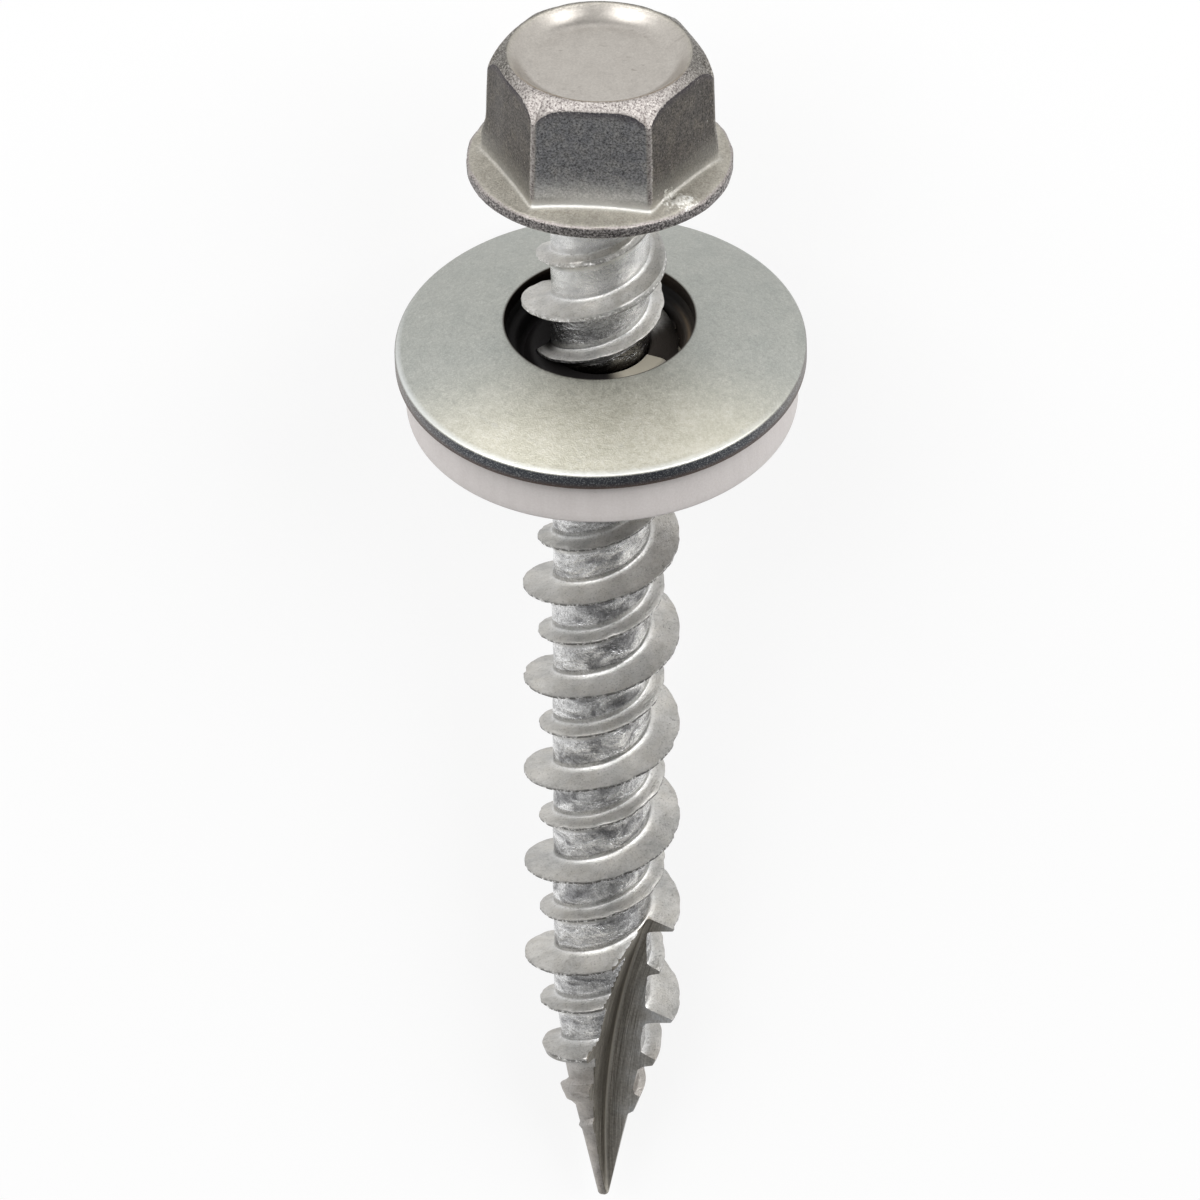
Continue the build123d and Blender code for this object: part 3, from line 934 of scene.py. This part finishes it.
    # painted light: the worn edges of the crown and corners are lighter where they face the front
    # than at the sides
    edge = mix(tree, "front", side_edge, front_edge)
    foot_share = times(tree, "foot", "foot")
    for share, paint in (
        ("head", warm),
        ("side", mix(tree, foot_share, dark, foot)),
        ("foot_line", (0.74, 0.735, 0.71)),
        ("arch", (0.05, 0.042, 0.055)),
        (ragged(tree, "edge", speckle), edge),
        ("dish", floor),
        (times(tree, "lip", "front"), (0.23, 0.165, 0.095)),
        ("rim", rim),
        (ragged(tree, "rim_top", speckle), mix(tree, 0.3, front_edge, (0.3, 0.26, 0.25))),
        (ragged(tree, "torn", grain), torn),
        ("pit", (0.05, 0.035, 0.02)),
        ("outline", (0.1, 0.095, 0.09)),
        (times(tree, "crest", ramp(tree, grain, (0.52, 0.0), (0.57, 1.0))),
         (0.95, 0.94, 0.92)),
        ("shaded", (0.035, 0.03, 0.026)),
        ("ground_edge", (0.88, 0.88, 0.87)),
    ):
        colour = mix(tree, share, colour, paint)
    link(tree, colour, shader.inputs["Base Color"])

    shader.inputs["Metallic"].default_value = 1.0
    rough = math(tree, "MULTIPLY_ADD", grain, 0.16, 0.34)
    for name, change in (("root", -0.16), ("fillet", -0.12), ("head", 0.1), ("dish", -0.2)):
        rough = math(tree, "MULTIPLY_ADD", name, change, rough, clamp=True)
    link(tree, rough, shader.inputs["Roughness"])

    smooth = math(tree, "SUBTRACT", 1.0, "dish")
    fine = bump(tree, times(tree, speckle, smooth), 0.45, 0.035)
    fine = bump(tree, times(tree, grain, smooth), 0.25, 0.05, fine)
    crinkled = times(tree, crinkle, "root")
    crinkled = times(tree, crinkled, math(tree, "SUBTRACT", 1.15, "neck", clamp=True))
    link(tree, bump(tree, crinkled, 0.9, 0.16, fine), shader.inputs["Normal"])
    return material


def ground_steel():
    """Bare steel of the flute, scored by the wheel along its length, with painted light, shade and
    a painted highlight on its walls.
    """
    material, tree, shader = new_material("ground_steel")
    point = object_point(tree)
    scores = noise_node(tree, mask(tree, "score", "Vector"), 1.0, 4, 0.7)
    fine = noise_node(tree, mask(tree, "score", "Vector"), 3.0, 2, 0.7)
    stain = noise_node(tree, point, 1.1, 3)
    speckle = noise_node(tree, point, 12.0, 2, 0.7)
    rim_wall = ramp(tree, scores,
        (0.3, (0.17, 0.155, 0.13)), (0.55, (0.26, 0.24, 0.205)), (0.75, (0.42, 0.4, 0.36)))
    near = ramp(tree, scores,
        (0.3, (0.24, 0.222, 0.192)), (0.6, (0.43, 0.405, 0.365)), (0.78, (0.58, 0.55, 0.5)))
    far = ramp(tree, stain,
        (0.36, (0.42, 0.41, 0.385)), (0.54, (0.62, 0.62, 0.615)), (0.66, (0.78, 0.82, 0.86)))
    # painted light and shade: the far part of the flute is light and bluish, the wall along the
    # wheel's rim dark; the scores are the steel's own
    colour = mix(tree, "far_wall", near, far)
    colour = mix(tree, "rim_wall", colour, rim_wall)
    colour = mix(tree, 0.5, colour, ramp(tree, fine, (0.35, 0.3), (0.65, 0.7)), "OVERLAY")
    colour = mix(tree, 0.5, colour, ramp(tree, speckle, (0.3, 0.3), (0.7, 0.7)), "OVERLAY")
    # painted highlight along the bottom of the flute
    glint = times(tree, "valley", ramp(tree, scores, (0.3, 0.7), (0.6, 1.0)))
    colour = mix(tree, glint, colour, (0.72, 0.68, 0.6))
    link(tree, colour, shader.inputs["Base Color"])
    shader.inputs["Metallic"].default_value = 1.0
    shader.inputs["Roughness"].default_value = 0.42
    link(tree, bump(tree, scores, 0.4, 0.05, bump(tree, fine, 0.4, 0.03)), shader.inputs["Normal"])
    return material


def washer_steel():
    """Matt galvanised sheet with a darker sheared edge, part its own tone and part a painted
    reflection that is darkest at the front; with a painted highlight on the rim, painted shade at
    the hole, and painted light that makes the dome lighter and warmer towards the front.
    """
    material, tree, shader = new_material("washer_steel")
    point = object_point(tree)
    cloud = noise_node(tree, point, 1.1, 5, 0.7)
    grain = noise_node(tree, point, 7.0, 3, 0.7)
    speckle = noise_node(tree, point, 20.0, 2, 0.7)
    cool = ramp(tree, cloud, (0.3, (0.405, 0.418, 0.392)), (0.7, (0.465, 0.472, 0.44)))
    warm = ramp(tree, cloud, (0.3, (0.55, 0.535, 0.45)), (0.7, (0.66, 0.64, 0.56)))
    # painted light: the front of the dome is lighter and warmer than the back
    colour = mix(tree, "front", cool, warm)
    colour = mix(tree, 0.35, colour, ramp(tree, grain, (0.3, 0.35), (0.7, 0.65)), "OVERLAY")
    pores = ramp(tree, speckle, (0.3, 0.32), (0.55, 0.5), (0.75, 0.7))
    colour = mix(tree, 0.4, colour, pores, "OVERLAY")
    marks = scratches(tree, point, (0.6, 0.0, 0.8), 4.0)
    colour = mix(tree, times(tree, marks, 0.18), colour, (0.24, 0.25, 0.24))
    # painted highlight along the rim
    colour = mix(tree, times(tree, "bright", 0.7), colour, (0.8, 0.82, 0.82))
    # painted reflection: the cut edge is darkest and bluest at the front
    cut = mix(tree, "front", (0.24, 0.22, 0.205), (0.085, 0.092, 0.105))
    cut = mix(tree, ramp(tree, speckle, (0.5, 0.0), (0.66, 0.8)), cut, (0.42, 0.43, 0.44))
    cut = mix(tree, "low_edge", cut, (0.12, 0.085, 0.07))
    colour = mix(tree, "edge", colour, cut)
    # painted shade at the hole
    colour = mix(tree, "hole", colour, (0.045, 0.035, 0.028))
    link(tree, colour, shader.inputs["Base Color"])
    shader.inputs["Metallic"].default_value = 1.0
    link(tree, math(tree, "MULTIPLY_ADD", grain, 0.16, 0.4), shader.inputs["Roughness"])
    fine = bump(tree, grain, 0.2, 0.04)
    link(tree, bump(tree, speckle, 0.2, 0.03, fine), shader.inputs["Normal"])
    return material


def seal_rubber():
    """Pale pinkish grey rubber with faint upright streaks, and painted shade inside the washer's
    hole.
    """
    material, tree, shader = new_material("seal_rubber")
    point = object_point(tree)
    upright = squeezed(tree, point, washer_up, 0.12)
    streaks = noise_node(tree, upright, 2.2, 4, 0.6)
    grain = noise_node(tree, point, 14.0, 2)
    colour = ramp(tree, streaks, (0.35, (0.61, 0.573, 0.558)), (0.65, (0.64, 0.603, 0.588)))
    colour = mix(tree, 0.15, colour, ramp(tree, grain, (0.35, 0.35), (0.65, 0.65)), "OVERLAY")
    colour = mix(tree, "joint", colour, (0.2, 0.13, 0.11))
    # painted shade inside the washer's hole: near black under the steel; the lip ring and web get
    # darker, browner tones
    colour = mix(tree, "recess", colour, (0.04, 0.031, 0.024))
    colour = mix(tree, "lip_ring", colour, (0.2, 0.15, 0.1))
    colour = mix(tree, "web", colour, (0.4, 0.37, 0.3))
    colour = mix(tree, "shaded", colour, (0.006, 0.005, 0.005))
    link(tree, colour, shader.inputs["Base Color"])
    shader.inputs["Roughness"].default_value = 0.62
    shader.inputs["Specular IOR Level"].default_value = 0.3
    fine = bump(tree, grain, 0.25, 0.03)
    link(tree, bump(tree, streaks, 0.1, 0.03, fine), shader.inputs["Normal"])
    return material


def floor_white():
    """Pale floor that keeps the object's shadow and shows nearly white."""
    material, tree, shader = new_material("floor_white")
    shader.inputs["Base Color"].default_value = (0.9, 0.9, 0.9, 1)
    shader.inputs["Roughness"].default_value = 0.9
    path = tree.nodes.new("ShaderNodeLightPath")
    seen = path.outputs["Is Camera Ray"]
    for ray in ("Is Glossy Ray", "Is Transmission Ray"):
        seen = math(tree, "ADD", seen, path.outputs[ray], clamp=True)
    share = times(tree, seen, 0.82)
    glow = tree.nodes.new("ShaderNodeEmission")
    glow.inputs["Strength"].default_value = 1.0
    both = tree.nodes.new("ShaderNodeMixShader")
    link(tree, share, both.inputs[0])
    link(tree, shader.outputs[0], both.inputs[1])
    link(tree, glow.outputs[0], both.inputs[2])
    link(tree, both.outputs[0], tree.nodes["Material Output"].inputs["Surface"])
    return material


# The pieces
def dress_screw():
    screw = build_screw()
    grind_flute(screw, wheel_cutter())
    weld(screw.data, 0.002)
    mask_screw(screw.data)
    screw.data.materials.clear()
    screw.data.materials.append(plated_steel())
    screw.data.materials.append(ground_steel())
    mark_flute(screw.data, 1)
    screw.data.transform(screw_place)
    seat_on_floor(screw.data)
    shade_smooth(screw.data, 42)
    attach(screw, "root")
    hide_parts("screw")


def dress_washer():
    def dent(points):
        radius = np.hypot(points[:, 0], points[:, 1])
        points[:, 2] += noise(points, 2.5, 3.3) * 0.012 * smooth_step(2.9, 3.4, radius)
        return points

    washer = lathe("steel_disc", washer_profile(), dent)
    points = mesh_points(washer.data)
    height = points[:, 2]
    radius = np.hypot(points[:, 0], points[:, 1])
    cut = smooth_step(RIM_RADIUS - 0.03, RIM_RADIUS - 0.005, radius)
    cut = np.maximum(cut, height < dome_height(radius) - 0.2)
    # the rim's front left, where a painted highlight goes
    lit = smooth_step(-0.2, 0.8, (-points[:, 1] - 0.5 * points[:, 0]) / RIM_RADIUS)
    add_masks(
        washer.data,
        # hole: painted shade at the disc's hole edge
        hole=1 - smooth_step(HOLE_RADIUS + 0.04, HOLE_RADIUS + 0.08, radius),
        edge=cut,
        low_edge=cut * (height < dome_height(RIM_RADIUS, WASHER_THICKNESS) + 0.06),
        # the front of the disc, where light is painted on the dome and a dark reflection on the
        # cut edge
        front=smooth_step(1.2, 5.2, -points[:, 1]),
        bright=band(RIM_RADIUS - 0.06, 0.035, radius) * (height > -0.1) * lit,
    )
    washer.data.transform(washer_place)
    shade_smooth(washer.data, 50)
    washer.data.materials.append(washer_steel())
    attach(washer, "root")
    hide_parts("steel_washer")


def dress_seal():
    seal = build_seal()
    mask_seal(seal.data)
    seal.data.transform(washer_place)
    seat_on_floor(seal.data)
    shade_smooth(seal.data, 50)
    seal.data.materials.append(seal_rubber())
    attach(seal, "root")
    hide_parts("rubber_seal")


# Floor, light and camera
def build_floor():
    size = 3.0
    mesh = bpy.data.meshes.new("floor")
    corners = [(-size, -size, 0), (size, -size, 0), (size, size, 0), (-size, size, 0)]
    mesh.from_pydata(corners, [], [(0, 1, 2, 3)])
    mesh.materials.append(floor_white())
    floor = add_object("floor", mesh)


def area_light(name, place, aim, size, power):
    light = bpy.data.lights.new(name, "AREA")
    light.shape = "RECTANGLE"
    light.size = light.size_y = size
    light.energy = power
    lamp = add_object(name, light)
    lamp.location = place
    lamp.rotation_euler = (Vector(aim) - Vector(place)).to_track_quat("-Z", "Y").to_euler()
    return lamp


def build_lights():
    world = bpy.data.worlds.new("studio")
    bpy.context.scene.world = world
    world.use_nodes = True
    tree = world.node_tree
    sky = tree.nodes["Background"]
    where = tree.nodes.new("ShaderNodeTexCoord")
    split = tree.nodes.new("ShaderNodeSeparateXYZ")
    link(tree, where.outputs["Generated"], split.inputs[0])
    # the room is darker beyond the point than beyond the head, and has a dim strip on the right
    length = math(tree, "MULTIPLY_ADD", split.outputs["Y"], 0.5, 0.5)
    width = math(tree, "MULTIPLY_ADD", split.outputs["X"], 0.5, 0.5)
    shade = ramp(tree, length, (0.15, 0.52), (0.45, 0.6), (0.8, 1.0))
    across = ramp(tree, width,
        (0.08, 1.0), (0.3, 0.6), (0.5, 0.54), (0.62, 0.24), (0.74, 0.36), (0.92, 0.78))
    link(tree, mix(tree, 1.0, shade, across, "MULTIPLY"), sky.inputs["Color"])
    sky.inputs["Strength"].default_value = 1.0
    area_light("key", (-0.2, 0.26, 0.24), (0, 0.005, 0), 0.32, 1.05)
    area_light("fill", (0.24, 0.23, 0.23), (0, 0, 0), 0.3, 1.15)


def build_camera():
    """The photograph's view: from in front of the screw, above its bearing face."""
    elevation = radians(33.8)
    distance = 700 * MM
    focal_ratio = 18.94          # lens to film width
    film = 36.0
    front = -back
    towards = front * cos(elevation) + axis_up * sin(elevation)
    image_up = axis_up * cos(elevation) - front * sin(elevation)
    aim = bearing - axis_up * 17 * MM - right * 0.043 * MM + image_up * 0.97 * MM
    roll = Matrix.Rotation(radians(-0.2), 3, towards)
    image_up = roll @ image_up
    image_right = image_up.cross(towards)
    camera = bpy.data.cameras.new("camera")
    camera.sensor_width = film
    camera.lens = film * focal_ratio
    camera.clip_start = 0.01
    camera.clip_end = 10
    holder = add_object("camera", camera)
    turn = Matrix((image_right, image_up, towards)).transposed().to_4x4()
    holder.matrix_world = Matrix.Translation(aim + towards * distance) @ turn
    bpy.context.scene.camera = holder


build_camera()
dress_screw()
dress_washer()
dress_seal()
build_floor()
build_lights()
bpy.context.scene.view_settings.view_transform = "Standard"
